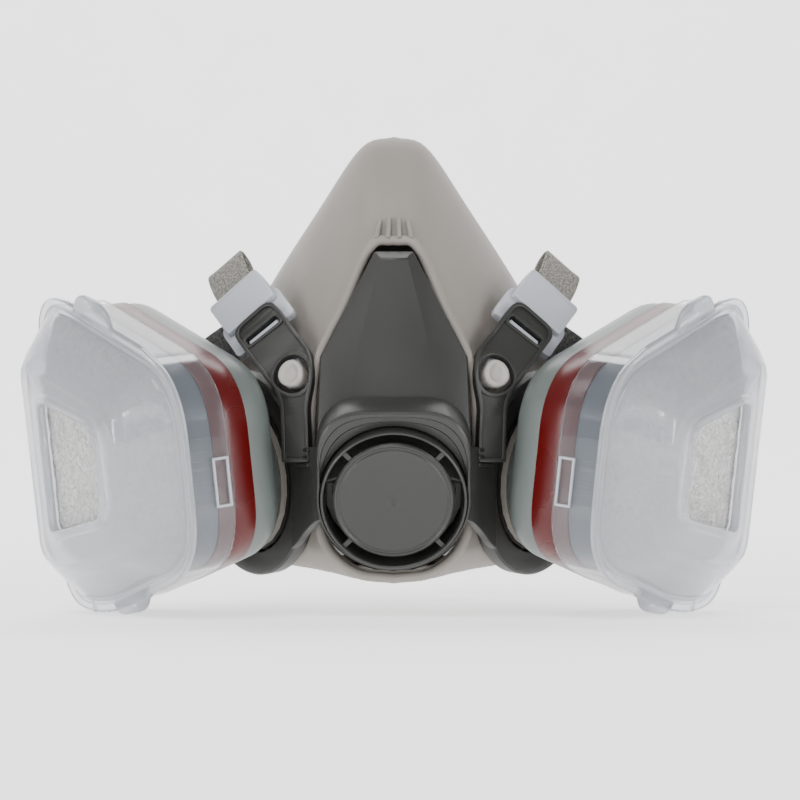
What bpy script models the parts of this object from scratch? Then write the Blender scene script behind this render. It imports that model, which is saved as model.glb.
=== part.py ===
"""Half-face respirator with two bayonet cartridges, modelled as separate pieces.

Sizes are in millimetres and become metres as each mesh is made. +X is the wearer's left,
-Y the front and +Z up. The right-hand half (+X) is modelled; the other side of each pair
shares its mesh and hangs under an empty that mirrors X.
"""

import math

import bmesh
import bpy
import numpy as np
from mathutils import Matrix, Vector

MM = 0.001
GAP = 0.3                      # clearance between pieces that touch
STAND = (0.0, 0.22, -0.30)    # moves the model so that it is centred and stands on Z = 0

# Cartridge port: a frame whose z axis points out of the port, y axis up
PORT_CENTRE = (44.0, -15.0, 42.0)
PORT_TURN = math.radians(55)   # from straight ahead towards the side
PORT_DROOP = math.radians(7)   # below the horizontal
TUBE_R, TUBE_BORE, TUBE_END = 17.0, 14.8, 12.4
LUG_R = 19.6
WALL_Z = -4.0                  # outside of the facepiece wall round the port
SEAL_WALL = 2.2

# Exhalation valve: a frame whose z axis points out of the valve
VALVE_CENTRE = (0.0, -57.0, 34.8)
VALVE_DROOP = math.radians(20)
DISC_R, CAGE_R, CAGE_OUT, COLLAR_BORE = 17.8, 20.8, 21.5, 21.9

# Cartridge: (t, y, fillet length) of each corner, and where its layers lie along the port axis
CASE_CORNERS = ((36, 58, 14), (-34, 33, 17), (-34, -19, 15), (14, -32, 9), (36, -32, 11))
PANEL_CORNERS = ((33, 45, 10), (-23, 26, 12), (-23, -14, 10), (5, -22, 10), (32, -22, 10))
WINDOW_CORNERS = ((20, 29, 3), (-10, 21, 6), (-11, -5, 6), (5, -7.8, 3), (20, -10, 3))
CASE_REAR, CASE_SIDE, CASE_FRONT = 8.0, 17.0, 42.0
BAND_REAR, BAND_FRONT = 20.5, 33.5
SKIRT_REAR, PANEL_Z = 28.5, 58.0

# Strap webbing
WEB_WIDTH, WEB_THICK = 13.0, 1.2


# ---------------------------------------------------------------- scene and materials
def clear_scene():
    for obj in list(bpy.data.objects):
        bpy.data.objects.remove(obj)


def new_collection(name):
    collection = bpy.data.collections.new(name)
    bpy.context.scene.collection.children.link(collection)
    return collection


def plastic(name, colour, roughness, alpha=1.0):
    """A Principled material; none of the pieces is metal."""
    material = bpy.data.materials.new(name)
    material.use_nodes = True
    shader = material.node_tree.nodes["Principled BSDF"]
    shader.inputs["Base Color"].default_value = (*colour, 1)
    shader.inputs["Roughness"].default_value = roughness
    shader.inputs["Metallic"].default_value = 0.0
    shader.inputs["Alpha"].default_value = alpha
    material.diffuse_color = (*colour, 1)
    return material


clear_scene()
PARTS = new_collection("half_face_respirator")
WORK = new_collection("cutters")

RUBBER = plastic("facepiece_rubber", (0.41, 0.37, 0.34), 0.6)
DARK = plastic("dark_grey_plastic", (0.075, 0.075, 0.068), 0.5)
FLAP = plastic("flap_silicone", (0.62, 0.58, 0.46), 0.5)
CASE = plastic("cartridge_plastic", (0.26, 0.30, 0.31), 0.35)
BAND = plastic("label_red", (0.36, 0.01, 0.005), 0.3)
BED = plastic("sorbent_granules", (0.02, 0.02, 0.02), 0.9)
PAD = plastic("filter_fleece", (0.82, 0.82, 0.80), 0.95)
CLEAR = plastic("clear_retainer", (0.80, 0.80, 0.86), 0.15, 0.35)
WHITE = plastic("white_nylon", (0.72, 0.73, 0.78), 0.4)
WEB = plastic("elastic_webbing", (0.33, 0.31, 0.28), 0.9)


# ---------------------------------------------------------------- frames
def axes_matrix(centre, x, y, z):
    """The frame with these axes at a point given in millimetres."""
    matrix = Matrix((x, y, z)).transposed().to_4x4()
    matrix.translation = Vector(centre) * MM
    return matrix


def port_axes():
    s, c = math.sin(PORT_TURN), math.cos(PORT_TURN)
    sd, cd = math.sin(PORT_DROOP), math.cos(PORT_DROOP)
    return (c, s, 0), (s * sd, -c * sd, cd), (s * cd, -c * cd, -sd)


def valve_axes():
    s, c = math.sin(VALVE_DROOP), math.cos(VALVE_DROOP)
    return (1, 0, 0), (0, -s, c), (0, -c, -s)


PORT = axes_matrix(PORT_CENTRE, *port_axes())
VALVE = axes_matrix(VALVE_CENTRE, *valve_axes())
MIRROR = Matrix.Scale(-1, 4, (1, 0, 0))


def empty(name, parent, matrix=Matrix.Identity(4)):
    obj = bpy.data.objects.new(name, None)
    obj.empty_display_size = 0.01
    PARTS.objects.link(obj)
    obj.parent = parent
    obj.matrix_local = matrix
    return obj


ORIGIN = empty("mask_origin", None, Matrix.Translation(Vector(STAND) * MM))
SIDES = {"r": empty("side_r", ORIGIN), "l": empty("side_l", ORIGIN, MIRROR)}
PORTS = {side: empty(f"port_{side}", parent, PORT) for side, parent in SIDES.items()}
VALVE_EMPTY = empty("valve", ORIGIN, VALVE)


# ---------------------------------------------------------------- modelling helpers
def work_object(name, data, matrix=Matrix.Identity(4)):
    obj = bpy.data.objects.new(name, data)
    WORK.objects.link(obj)
    obj.matrix_world = matrix
    return obj


def from_faces(name, points, faces):
    """A mesh object from points in millimetres, its faces turned outwards where it is closed."""
    mesh = bpy.data.meshes.new(name)
    mesh.from_pydata((np.asarray(points, float) * MM).tolist(), [], faces)
    bm = bmesh.new()
    bm.from_mesh(mesh)
    bmesh.ops.remove_doubles(bm, verts=bm.verts, dist=1e-6)
    if all(len(edge.link_faces) == 2 for edge in bm.edges):
        bmesh.ops.recalc_face_normals(bm, faces=bm.faces)
    bm.to_mesh(mesh)
    bm.free()
    return work_object(name, mesh)


def turned(name, profile, steps=24, matrix=Matrix.Identity(4)):
    """A profile of (radius, height) points, closed unless both ends lie on the axis, turned about z."""
    on_axis = profile[0][0] == 0 and profile[-1][0] == 0
    count = len(profile)
    edges = [(i, i + 1) for i in range(count - 1)] + ([] if on_axis else [(count - 1, 0)])
    mesh = bpy.data.meshes.new(name)
    mesh.from_pydata([(r * MM, 0, z * MM) for r, z in profile], edges, [])
    obj = work_object(name, mesh, matrix)
    screw = obj.modifiers.new("turn", "SCREW")
    screw.axis = "Z"
    screw.steps = screw.render_steps = steps
    screw.use_merge_vertices = True
    screw.merge_threshold = 1e-5
    return obj


def tube(r_in, r_out, low, high):
    """The closed profile of a plain ring."""
    return [(r_out, high), (r_out, low), (r_in, low), (r_in, high)]


def disc(radius, low, high):
    """The profile of a plain disc."""
    return [(0, high), (radius, high), (radius, low), (0, low)]


def box(name, size, centre, matrix=Matrix.Identity(4), turn=0.0):
    """A box in millimetres; turn is its angle about the frame's z axis."""
    bm = bmesh.new()
    bmesh.ops.create_cube(bm, size=1)
    bmesh.ops.scale(bm, verts=bm.verts, vec=Vector(size) * MM)
    bmesh.ops.translate(bm, verts=bm.verts, vec=Vector(centre) * MM)
    bmesh.ops.rotate(bm, verts=bm.verts, cent=(0, 0, 0), matrix=Matrix.Rotation(turn, 3, "Z"))
    mesh = bpy.data.meshes.new(name)
    bm.to_mesh(mesh)
    bm.free()
    return work_object(name, mesh, matrix)


def combine(target, operation, *tools):
    """Adds a Boolean with each tool; the tools stay in the cutters' collection until baked."""
    for tool in tools:
        tool.hide_render = True
        tool.display_type = "WIRE"
        modifier = target.modifiers.new("boolean", "BOOLEAN")
        modifier.operation = operation
        modifier.object = tool
        modifier.solver = "EXACT"
    return target


def bake(obj, *tools):
    """The evaluated mesh in the piece's own frame; the working objects are removed."""
    for block in (obj, *tools):
        if block.type == "CURVE":
            raise ValueError("make a curve a mesh before it is baked")
    bpy.context.view_layer.update()
    mesh = bpy.data.meshes.new_from_object(obj.evaluated_get(bpy.context.evaluated_depsgraph_get()))
    mesh.transform(obj.matrix_world)
    bm = bmesh.new()
    bm.from_mesh(mesh)
    bmesh.ops.remove_doubles(bm, verts=bm.verts, dist=2e-6)
    bmesh.ops.dissolve_degenerate(bm, edges=bm.edges, dist=2e-6)
    bm.to_mesh(mesh)
    bm.free()
    for used in (obj, *tools):
        bpy.data.objects.remove(used)
    return mesh


def flat(name, outlines, low, high):
    """A plate from closed outlines of (x, y) points, the first outside and the others holes."""
    curve = bpy.data.curves.new(name, "CURVE")
    curve.dimensions = "2D"
    curve.fill_mode = "BOTH"
    curve.extrude = (high - low) / 2 * MM
    for outline in outlines:
        spline = curve.splines.new("POLY")
        spline.points.add(len(outline) - 1)
        for point, (x, y) in zip(spline.points, outline):
            point.co = (x * MM, y * MM, 0, 1)
        spline.use_cyclic_u = True
    obj = work_object(name, curve)
    bpy.context.view_layer.update()
    mesh = bpy.data.meshes.new_from_object(obj.evaluated_get(bpy.context.evaluated_depsgraph_get()))
    bpy.data.objects.remove(obj)
    mesh.transform(Matrix.Translation((0, 0, (high + low) / 2 * MM)))
    bm = bmesh.new()
    bm.from_mesh(mesh)
    bmesh.ops.remove_doubles(bm, verts=bm.verts, dist=1e-6)
    bmesh.ops.recalc_face_normals(bm, faces=bm.faces)
    bm.to_mesh(mesh)
    bm.free()
    return work_object(name, mesh)


def rounded(corners, grow=0.0, arc=3):
    """A closed outline whose corners are offset outwards by grow and filleted with quadratic arcs."""
    points = [Vector(corner[:2]) for corner in corners]
    count = len(points)
    area = sum(points[i - 1].cross(points[i]) for i in range(count))
    turn = 1 if area > 0 else -1
    outline = []
    for i, (point, corner) in enumerate(zip(points, corners)):
        before = (point - points[i - 1]).normalized()
        after = (points[(i + 1) % count] - point).normalized()
        n1 = Vector((before.y, -before.x)) * turn
        n2 = Vector((after.y, -after.x)) * turn
        tip = point + (n1 + n2) * (grow / (1 + n1.dot(n2)))
        bend = abs(before.cross(after)) / (1 + before.dot(after))
        length = max(corner[2] + grow * bend, 0.4)
        start, end = tip - before * length, tip + after * length
        for k in range(arc + 1):
            s = k / arc
            outline.append(tuple(start * (1 - s) ** 2 + tip * 2 * s * (1 - s) + end * s * s))
    return outline


def circle(radius, steps=32, centre=(0, 0)):
    angles = [2 * math.pi * k / steps for k in range(steps)]
    return [(centre[0] + radius * math.cos(a), centre[1] + radius * math.sin(a)) for a in angles]


def loft(name, loops, ring=False, caps=True):
    """Quads between equal loops of 3D points; ring joins the last loop to the first."""
    size, count = len(loops[0]), len(loops)
    points = [p for loop in loops for p in loop]
    faces = []
    for a in range(count if ring else count - 1):
        b = (a + 1) % count
        for i in range(size):
            j = (i + 1) % size
            faces.append((a * size + i, a * size + j, b * size + j, b * size + i))
    if caps and not ring:
        faces.append(tuple(reversed(range(size))))
        faces.append(tuple(range((count - 1) * size, count * size)))
    return from_faces(name, points, faces)


def at_height(outline, z):
    return [(x, y, z) for x, y in outline]


def smooth_path(points, count):
    """Count points evenly spaced along a Catmull-Rom curve through the given ones."""
    p = np.asarray(points, float)
    p = np.vstack([2 * p[0] - p[1], p, 2 * p[-1] - p[-2]])
    s = np.linspace(0, 1, 24, endpoint=False)[:, None]
    runs = []
    for a, b, c, d in zip(p[:-3], p[1:-2], p[2:-1], p[3:]):
        runs.append(0.5 * (2 * b + (c - a) * s + (2 * a - 5 * b + 4 * c - d) * s ** 2
                           + (3 * b - a - 3 * c + d) * s ** 3))
    dense = np.vstack([*runs, p[-2][None]])
    reach = np.concatenate([[0], np.cumsum(np.linalg.norm(np.diff(dense, axis=0), axis=1))])
    even = np.linspace(0, reach[-1], count)
    return np.stack([np.interp(even, reach, dense[:, k]) for k in range(dense.shape[1])], axis=1)


def finish(mesh, name, material):
    mesh.name = name
    mesh.materials.clear()
    mesh.materials.append(material)
    mesh.shade_smooth()
    mesh.set_sharp_from_angle(angle=math.radians(35))
    return mesh


def piece(name, mesh, material, parent=ORIGIN):
    obj = bpy.data.objects.new(name, finish(mesh, name, material))
    PARTS.objects.link(obj)
    obj.parent = parent
    return obj


def pair(stem, mesh, material, parents=SIDES):
    """The same mesh on both sides of the mask."""
    finish(mesh, stem, material)
    for side, parent in parents.items():
        obj = bpy.data.objects.new(f"{stem}_{side}", mesh)
        PARTS.objects.link(obj)
        obj.parent = parent


# ---------------------------------------------------------------- facepiece
# Half loops (x >= 0) from the nose down to the chin, from the front rim back to the face flange
FRONT_RIM = ((0, -31, 112), (7, -32, 110), (15, -37, 92), (22.4, -40.2, 76), (24.4, -41.2, 60),
             (24, -38.2, 42), (21, -39, 23), (12, -41, 13.5), (0, -42, 11.5))
SHOULDER = ((0, -27, 117.5), (9, -27.5, 114.5), (18.5, -30, 97), (25, -32, 79), (26.4, -33.5, 60),
            (26.5, -34, 40), (24, -34, 22), (14, -35, 12), (0, -35, 10.5))
CHEEK = ((0, -13, 134), (9.5, -14, 131), (22, -14, 112), (34, -15, 90), (41, -14, 66),
         (42, -13, 46), (38, -14, 27), (23, -19, 13.5), (0, -24, 10.5))
WIDEST = ((0, 2, 145), (9.5, 0, 142), (21, 0, 125), (38.5, 5, 97), (49.5, 10, 75),
          (53, 12, 50), (46, 10, 28), (27, 0, 14), (0, -12, 11))
REAR_RIM = ((0, 14, 143), (11, 14, 139), (24, 20, 121), (41, 30, 95), (50, 38, 72),
            (52, 40, 50), (45, 38, 30), (27, 30, 19), (0, 24, 16))
INNER_LIP = ((0, 11, 131), (8, 10, 128), (17, 14, 113), (32, 24, 91), (41, 31, 70),
             (42.5, 33, 50), (36, 31, 34), (21, 24, 25), (0, 18, 22))


def flatten_round_port(points):
    """Brings the wall round the port onto the plane that the port is clamped on."""
    t, u, n = (np.array(axis) for axis in port_axes())
    local = points - np.array(PORT_CENTRE)
    radius = np.hypot(local @ t, local @ u)
    height = local @ n
    near = np.clip((33 - radius) / 8, 0, 1)
    moved = height + near * near * (3 - 2 * near) * (WALL_Z - height)
    outer = np.clip((41 - radius) / 8, 0, 1)
    above = np.maximum(moved - WALL_Z, 0)
    moved = moved - outer * outer * (3 - 2 * outer) * above
    return points + (moved - height)[..., None] * n


def make_face_seal():
    """One shell of rubber: a half sheet mirrored at the middle, given its wall, and bored."""
    rows = [smooth_path(loop, 19) for loop in
            (FRONT_RIM, SHOULDER, CHEEK, WIDEST, REAR_RIM, INNER_LIP)]
    lines = np.stack(rows, axis=1)
    sheet = np.stack([smooth_path(line, 12) for line in lines], axis=0)
    sheet[0, :, 0] = sheet[-1, :, 0] = 0
    sheet = flatten_round_port(sheet)
    along, across = sheet.shape[:2]
    faces = [(i * across + j, (i + 1) * across + j, (i + 1) * across + j + 1, i * across + j + 1)
             for i in range(along - 1) for j in range(across - 1)]
    obj = from_faces("face_seal", sheet.reshape(-1, 3), faces)
    mirror = obj.modifiers.new("other_half", "MIRROR")
    mirror.merge_threshold = 1e-5
    wall = obj.modifiers.new("wall", "SOLIDIFY")
    wall.thickness = SEAL_WALL * MM
    wall.offset = -1
    bores = [turned("bore", disc(TUBE_R + 0.6, -14, 4), 24, frame) for frame in (PORT, MIRROR @ PORT)]
    return bake(combine(obj, "DIFFERENCE", *bores), *bores)


# ---------------------------------------------------------------- front plate and exhalation valve
PLATE_EDGE = ((5.8, 108.5), (21.8, 77), (22.6, 55), (22.6, 51))
PANEL_EDGE = ((4.1, 106.3), (11.2, 77), (13.9, 59.6), (13.9, 51))


def both_halves(edge):
    return [*edge, *[(-x, z) for x, z in reversed(edge)]]


def plate_face(z):
    """The depth of the plate's outer edge at height z."""
    return -50 + (z - 55) * 0.262


def make_front_plate():
    """A faceted shield above a round base for the valve, with the air hole through both."""
    edge, panel = both_halves(PLATE_EDGE), both_halves(PANEL_EDGE)
    depths = ((edge, 3.0), (edge, 0.0), (panel, -3.4))
    loops = [[(x, plate_face(z) + back, z) for x, z in outline] for outline, back in depths]
    shield = loft("front_plate", loops)
    base = turned("base", disc(21.8, -17.4, -14.3), 28, VALVE)
    hole = turned("hole", disc(12.5, -40, 2), 24, VALVE)
    clear = turned("clear", disc(23.6, -14.0, 12), 28, VALVE)
    top = box("collar_space", (60, 16, 30), (0, 18.5, 1.0), VALVE)
    combine(shield, "DIFFERENCE", clear, top)
    combine(shield, "UNION", base)
    combine(shield, "DIFFERENCE", hole)
    return bake(shield, clear, top, base, hole)


def make_valve_seat():
    """A cup with a perforated web; the flap's stem sits in the middle hole."""
    profile = [(0, -11.4), (13.2, -11.4), (13.2, -10.1), (14.6, -10.1), (14.6, -11.4), (18.3, -11.4),
               (18.3, -9.6), (20.3, -9.6), (20.3, -14.0), (0, -14.0)]
    seat = turned("exhale_valve_seat", profile)
    ports = [turned("port", disc(3.6, -16, -9), 8,
                    Matrix.Translation((7.4 * MM * math.cos(a), 7.4 * MM * math.sin(a), 0)))
             for a in (math.pi / 4 + k * math.pi / 2 for k in range(4))]
    stem = turned("stem_hole", disc(1.9, -16, -9), 8)
    return bake(combine(seat, "DIFFERENCE", stem, *ports), stem, *ports)


def make_exhale_flap():
    return bake(turned("exhale_flap", [(0, -9.0), (15.6, -9.2), (15.6, -9.8), (1.6, -9.8),
                                       (1.6, -14.0), (0, -14.4)]))


def make_exhale_cover():
    """A disc carried in a ring by four diagonal ribs, with a small mark at its middle."""
    profile = [(0, -0.5), (1.3, 0), (DISC_R - 0.5, 0), (DISC_R, -0.5), (DISC_R, -1.8), (0, -1.8)]
    cover = turned("exhale_cover", profile, 28)
    cage = turned("cage", [(CAGE_OUT - 0.3, 0), (CAGE_OUT, -0.4), (CAGE_OUT, -12.0),
                           (CAGE_R, -12.0), (CAGE_R, -0.4)], 28)
    ribs = [box("rib", (4.6, 1.5, 1.6), ((DISC_R + CAGE_R) / 2, 0, -1.9),
                turn=math.pi / 4 + k * math.pi / 2) for k in range(4)]
    return bake(combine(cover, "UNION", cage, *ribs), cage, *ribs)


# ---------------------------------------------------------------- harness arms
# The middle line of each arm, from the band up past its tip, and how far it faces outwards
ARM_LINE = ((28.3, -43, 44), (28.6, -42.8, 58), (29.8, -40.5, 71.5), (36, -33.5, 80.8),
            (42.4, -25.5, 89.3), (47.5, -19, 96), (53, -12, 103), (58, -5.5, 109.5))
ARM_FACING = ((-40, 24), (-10, 22), (10, 22), (24, 30), (60, 30))
ARM_DENSE = smooth_path(ARM_LINE, 141)
ARM_REACH = np.concatenate([[0], np.cumsum(np.linalg.norm(np.diff(ARM_DENSE, axis=0), axis=1))])
BUTTON_AT = ARM_REACH[np.argmin(np.linalg.norm(ARM_DENSE - np.array(ARM_LINE[2]), axis=1))]


def arm_frame(s):
    """Point, across, along and outward axes of the arm at s mm above its button hole."""
    def point(v):
        return np.array([np.interp(v + BUTTON_AT, ARM_REACH, ARM_DENSE[:, k]) for k in range(3)])
    along = point(s + 2) - point(s - 2)
    along = along / np.linalg.norm(along)
    facing = math.radians(np.interp(s, *zip(*ARM_FACING)))
    level = np.array((math.sin(facing), -math.cos(facing), 0))
    lift = -(level @ along) / max(along[2], 0.2)
    outward = level + np.array((0, 0, lift))
    outward = outward / np.linalg.norm(outward)
    return point(s), np.cross(along, outward), along, outward


def bend_on_arm(mesh, step=4.5):
    """Takes a mesh laid out flat (across, along, outward) onto the curved arm."""
    bm = bmesh.new()
    bm.from_mesh(mesh)
    spans = [v.co.y for v in bm.verts]
    low, high = min(spans), max(spans)
    cut = low + step * MM
    while cut < high - 0.5 * step * MM:
        geometry = bm.verts[:] + bm.edges[:] + bm.faces[:]
        bmesh.ops.bisect_plane(bm, geom=geometry, dist=1e-7, plane_co=(0, cut, 0), plane_no=(0, 1, 0))
        cut += step * MM
    for vert in bm.verts:
        middle, across, _, outward = arm_frame(vert.co.y / MM)
        place = middle + across * vert.co.x / MM + outward * vert.co.z / MM
        vert.co = Vector(place) * MM
    bmesh.ops.triangulate(bm, faces=bm.faces)
    bm.to_mesh(mesh)
    bm.free()
    return mesh


ARM_CORNERS = ((7.9, 26.5, 4.5), (-7.9, 26.5, 4.5), (-7.9, 2, 3), (-4.2, -9, 3), (-4.2, -26, 0.5),
               (4.6, -26, 0.5), (4.6, -9, 3), (7.9, 2, 3))
SLOT_CORNERS = ((5.9, 20.4, 0.5), (-5.9, 20.4, 0.5), (-5.9, 17.6, 0.5), (5.9, 17.6, 0.5))


def make_arm():
    plate = flat("arm", (rounded(ARM_CORNERS), circle(5.7, 18), rounded(SLOT_CORNERS, arc=1)), -1.3, 1.3)
    mesh = bend_on_arm(bake(plate))
    return work_object("arm", mesh)


BAND_LINE = ((20.6, -51.5), (22.6, -48.5), (25.4, -43.0), (27.6, -39.7), (29.6, -36.9))
BAND_EDGES = ((29.0, 50.5), (28.0, 50.5), (25.0, 50.5), (22.0, 51.0), (20.0, 52.0))
BAND_THICK = 2.6
COLLAR_TOP = ((22.4, 27.0, 13), (-22.4, 27.0, 13), (-22.4, 0, 1), (22.4, 0, 1))


def make_yoke():
    """Collar, side bands, port rings and arms in one moulding."""
    collar = flat("harness_yoke", (rounded(COLLAR_TOP, arc=5),), -13.7, -1.2)
    collar.matrix_world = VALVE
    round_part = turned("round_part", disc(22.5, -13.7, -1.2), 28, VALVE)
    combine(collar, "UNION", round_part)
    tools = [round_part]
    for frame in (Matrix.Identity(4), MIRROR):
        ring = turned("ring", tube(24, 31, WALL_Z + GAP, 1.0), 28, PORT)
        ring = work_object("ring", bake(ring))
        band = make_band()
        arm = make_arm()
        for obj in (ring, band, arm):
            if frame is MIRROR:
                obj.data.transform(MIRROR)
                obj.data.flip_normals()
            combine(collar, "UNION", obj)
            tools.append(obj)
    bore = turned("bore", disc(COLLAR_BORE, -30, 4), 28, VALVE)
    combine(collar, "DIFFERENCE", bore)
    return bake(collar, *tools, bore)


def make_band():
    """The strip that joins the collar to the port ring."""
    line = np.array(BAND_LINE)
    step = np.gradient(line, axis=0)
    normal = np.stack([-step[:, 1], step[:, 0]], axis=1)
    normal = normal / np.linalg.norm(normal, axis=1)[:, None] * (BAND_THICK / 2)
    loops = []
    for (x, y), (nx, ny), (low, high) in zip(line, normal, BAND_EDGES):
        loops.append([(x + nx, y + ny, low), (x + nx, y + ny, high),
                      (x - nx, y - ny, high), (x - nx, y - ny, low)])
    return loft("band", loops)


# ---------------------------------------------------------------- buckles
BUCKLE_CORNERS = ((11, 19, 2), (11, 31, 2), (8.4, 33, 1), (8.4, 40, 2), (-8.4, 40, 2), (-8.4, 33, 1),
                  (-11, 31, 2), (-11, 19, 2), (-3.4, 20, 1), (-3.4, -3.4, 2), (3.6, -3.4, 2), (3.6, 20, 1))
BUCKLE_SLOT = ((6.9, 37.6, 0.4), (-6.9, 37.6, 0.4), (-6.9, 34.4, 0.4), (6.9, 34.4, 0.4))


def make_buckle():
    """A webbing buckle with a tongue behind the arm and a button through the arm's hole."""
    plate = flat("buckle", (rounded(BUCKLE_CORNERS, arc=2), rounded(BUCKLE_SLOT, arc=1)), -4.4, -1.6)
    button = turned("button", [(0, 1.9), (1.8, 2.0), (3.0, 2.9), (3.8, 2.3), (3.8, -3), (0, -3)], 14)
    tab = box("tab", (10.6, 1.4, 3.0), (0, 18.8, -1.5))
    combine(plate, "UNION", button, tab)
    return bend_on_arm(bake(plate, button, tab))


# ---------------------------------------------------------------- webbing
def ribbon(name, route, across, width=WEB_WIDTH, thick=WEB_THICK, count=40):
    """Webbing along a route; across gives the width direction at the route's points."""
    line = smooth_path([(*p, *a) for p, a in zip(route, across)], count)
    path, side = line[:, :3], line[:, 3:]
    tangent = np.gradient(path, axis=0)
    tangent = tangent / np.linalg.norm(tangent, axis=1)[:, None]
    side = side - (side * tangent).sum(axis=1)[:, None] * tangent
    side = side / np.linalg.norm(side, axis=1)[:, None] * (width / 2)
    up = np.cross(tangent, side)
    up = up / np.linalg.norm(up, axis=1)[:, None] * (thick / 2)
    loops = [(p + s + n, p + s - n, p - s - n, p - s + n) for p, s, n in zip(path, side, up)]
    return bake(loft(name, loops))


def arm_point(s, across=0.0, outward=0.0):
    middle, side, _, out = arm_frame(s)
    return tuple(middle + side * across + out * outward)


# The crown strap folds over above its buckle, passes behind it and runs back to the cradle
CROWN_ROUTE = (arm_point(42.4, -0.2, -2.4), arm_point(46, -1.2, -2.2), arm_point(50.6, -2.2, -2.2),
               arm_point(52.6, -2.6, -4.6), arm_point(50.6, -2.2, -7.0), arm_point(45, -1.0, -7.7),
               arm_point(38, 0, -8.5), arm_point(31, 0, -9.2), (46, -12.8, 85.6), (52.5, -3, 80), (54.8, 6, 77),
               (54.8, 18, 75), (53.5, 36, 73), (47, 54, 73), (33, 65.4, 73), (21, 66.9, 73))
CROWN_ACROSS = (*[tuple(arm_frame(s)[1]) for s in (41, 46, 51, 52, 51, 45, 38, 30)],
                (0.6, 0.3, -0.72), (0.3, 0.35, -0.88), (0.1, 0.3, -0.95), *[(0, 0, -1)] * 5)
NECK_ROUTE = ((48.6, -17.4, 81.6), (51, -15.6, 80), (57, -10.4, 75.4), (62, -3, 69.4), (65.4, 4.6, 62),
              (67.4, 12, 54), (65.5, 25, 47), (58, 42, 44), (44, 57, 42), (28, 66, 42), (15.2, 66.9, 42))
NECK_ACROSS = ((0.25, 0.1, -0.93), (0.1, 0.1, -0.99), *[(-0.05, 0.1, -0.99)] * 3, *[(0, 0, -1)] * 6)


def make_cradle():
    """A flat crown piece: a bar that takes both straps, under an arch that spreads the load."""
    outer = rounded(((28, 64, 6), (28, 82, 8), (16, 102, 12), (-16, 102, 12), (-28, 82, 8), (-28, 64, 6)), arc=4)
    inner = rounded(((17.5, 81.5, 4), (10.5, 94.5, 6), (-10.5, 94.5, 6), (-17.5, 81.5, 4)), arc=4)
    plate = flat("crown_cradle", (outer, inner), -69.4, -67.8)
    plate.matrix_world = Matrix.Rotation(math.pi / 2, 4, "X")
    return bake(plate)


def make_neck_loop():
    outer = rounded(((17, 34, 2), (17, 50, 2), (-1, 50, 2), (-1, 34, 2)), arc=2)
    inner = rounded(((5.6, 36.6, 1), (5.6, 47.4, 1), (1.5, 47.4, 1), (1.5, 36.6, 1)), arc=1)
    plate = flat("neck_loop", (outer, inner), -70.2, -67.8)
    plate.matrix_world = Matrix.Rotation(math.pi / 2, 4, "X")
    return bake(plate)


def make_neck_hook():
    profile = ((-17, 67.8), (-17, 70.2), (-3.4, 70.2), (-3.4, 67.6), (2.2, 67.6), (2.2, 70.6),
               (-1.8, 70.6), (-1.8, 72.6), (4.8, 72.6), (4.8, 65.2), (-5.6, 65.2), (-5.6, 67.8))
    return bake(flat("neck_hook", (profile,), 37.2, 46.8))


# ---------------------------------------------------------------- inhalation ports and cartridges
LUG_SPAN = [math.radians(90 + a) for a in (-12, -6, 0, 6, 12)]


def make_inhale_port():
    """A tube through the facepiece with a flange on each side of its wall, lugs and a valve bridge."""
    flange_in, flange_out = WALL_Z - SEAL_WALL - 3 * GAP, WALL_Z + GAP
    profile = [(TUBE_R, TUBE_END), (TUBE_R, 1.0), (23.4, 1.0), (23.4, flange_out), (TUBE_R, flange_out),
               (TUBE_R, flange_in), (21.5, flange_in), (21.5, flange_in - 2), (TUBE_BORE, flange_in - 2),
               (TUBE_BORE, TUBE_END)]
    port = turned("inhale_port", profile)
    lugs = []
    for k in range(3):
        lug = flat("lug", ([(16.4 * math.cos(a), 16.4 * math.sin(a)) for a in LUG_SPAN]
                           + [(LUG_R * math.cos(a), LUG_R * math.sin(a)) for a in reversed(LUG_SPAN)],),
                   10.4, 12.2)
        lug.data.transform(Matrix.Rotation(k * 2 * math.pi / 3, 4, "Z"))
        lugs.append(lug)
    bridges = [box("bridge", (2 * TUBE_BORE + 1.6, 2.2, 2), (0, 0, 3), turn=k * math.pi / 2) for k in range(2)]
    boss = turned("boss", disc(4, 2, 4.4), 8)
    hole = turned("stem_hole", disc(1.8, 0, 8), 8)
    combine(port, "UNION", *lugs, *bridges, boss)
    combine(port, "DIFFERENCE", hole)
    return bake(port, *lugs, *bridges, boss, hole)


def make_inhale_flap():
    return bake(turned("inhale_flap", [(0, 4.6), (1.5, 4.4), (1.5, 1.7), (13.6, 1.7), (13.6, 1.0), (0, 1.0)], 20))


def make_gasket():
    return bake(turned("port_gasket", tube(TUBE_R + GAP, 22.8, 1.3, 3.2)))


def case_loop(z, grow):
    return at_height(rounded(CASE_CORNERS, grow), z)


def make_case():
    """An open-fronted tray with rounded rear edges, a neck round the port and bayonet notches."""
    outside = loft("cartridge_case", [case_loop(CASE_REAR, -9), case_loop(9.2, -5), case_loop(12, -1.8),
                                      case_loop(CASE_SIDE, 0), case_loop(CASE_FRONT, 0)])
    inside = loft("hollow", [case_loop(10, -10), case_loop(12.4, -4.2), case_loop(CASE_SIDE, -1.7),
                             case_loop(CASE_FRONT + 3, -1.7)])
    neck = turned("neck", tube(TUBE_R + 0.6, 22.8, 3.5, CASE_REAR + 1))
    bore = turned("bore", disc(TUBE_R + 0.6, 2, 11))
    notches = [box("notch", (10.4, 6.4, 12), (0, TUBE_R + 0.2, 6), turn=math.pi / 3 + k * 2 * math.pi / 3)
               for k in range(3)]
    combine(outside, "DIFFERENCE", inside)
    combine(outside, "UNION", neck)
    combine(outside, "DIFFERENCE", bore, *notches)
    return bake(outside, inside, neck, bore, *notches)


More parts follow.
